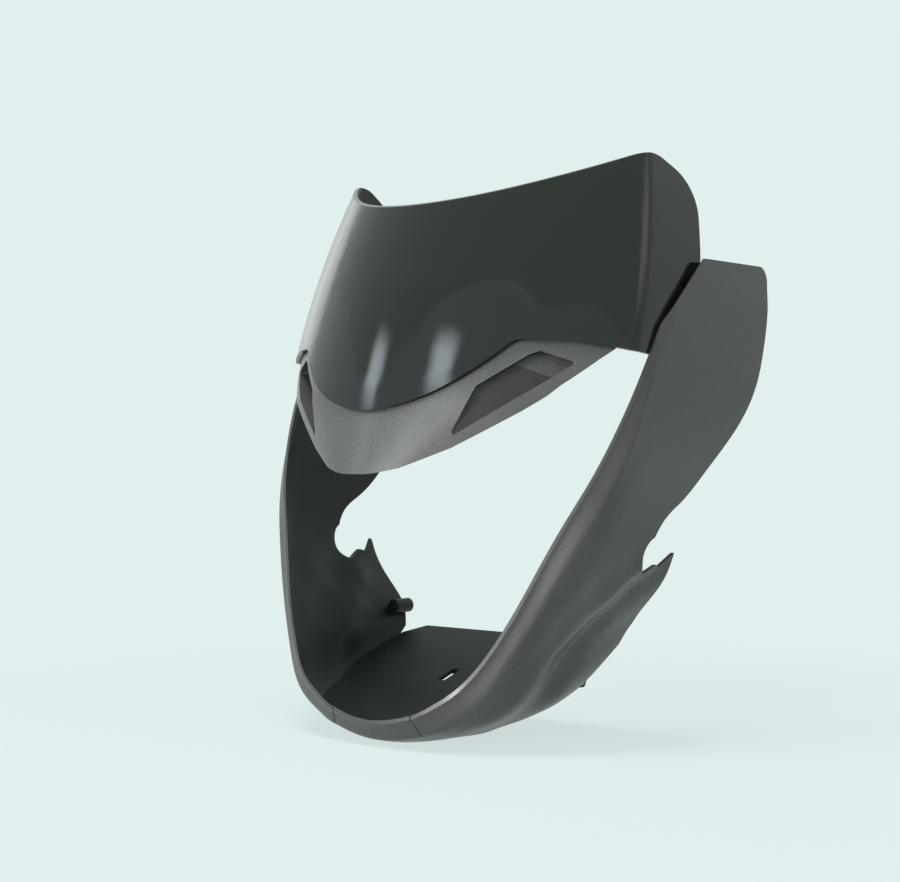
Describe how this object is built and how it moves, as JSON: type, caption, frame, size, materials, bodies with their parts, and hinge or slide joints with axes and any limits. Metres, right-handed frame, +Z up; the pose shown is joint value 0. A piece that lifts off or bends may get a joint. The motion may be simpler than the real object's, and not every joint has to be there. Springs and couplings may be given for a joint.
{
  "type": "headlight cowl",
  "caption": "Motorcycle headlight cowl: smoked visor over a scooped brow, rolled-rim side panels, a chin and a floor tray around the open lamp aperture.",
  "frame": {"origin": "midway between the two rear screw bosses, on their rear faces", "axes": "+Z up as the cowl is pictured, the lamp aperture faces -Y, +X is the right-hand side seen from the front"},
  "size_m": [0.3046, 0.2468, 0.3745],
  "materials": {
    "smoked_screen": "dark smoked clear plastic, polished",
    "silver_paint": "silver metallic paint on plastic",
    "grey_paint": "dark grey metallic paint outside, bare black plastic inside",
    "black_plastic": "moulded black plastic",
    "screw_steel": "blackened zinc",
    "soft_rubber": "black rubber"
  },
  "bodies": {
    "root": {"visor": "smoked_screen", "brow_panel": "silver_paint", "right_side_panel": "grey_paint", "left_side_panel": "grey_paint", "chin_panel": "grey_paint", "floor_tray": "black_plastic", "visor_screws": "screw_steel", "visor_washers": "soft_rubber", "side_screws": "screw_steel", "tray_screws": "screw_steel", "chin_screws": "screw_steel", "chin_clip_nuts": "screw_steel", "tab_grommets": "soft_rubber", "tab_sleeves": "screw_steel"}
  },
  "joints": []
}
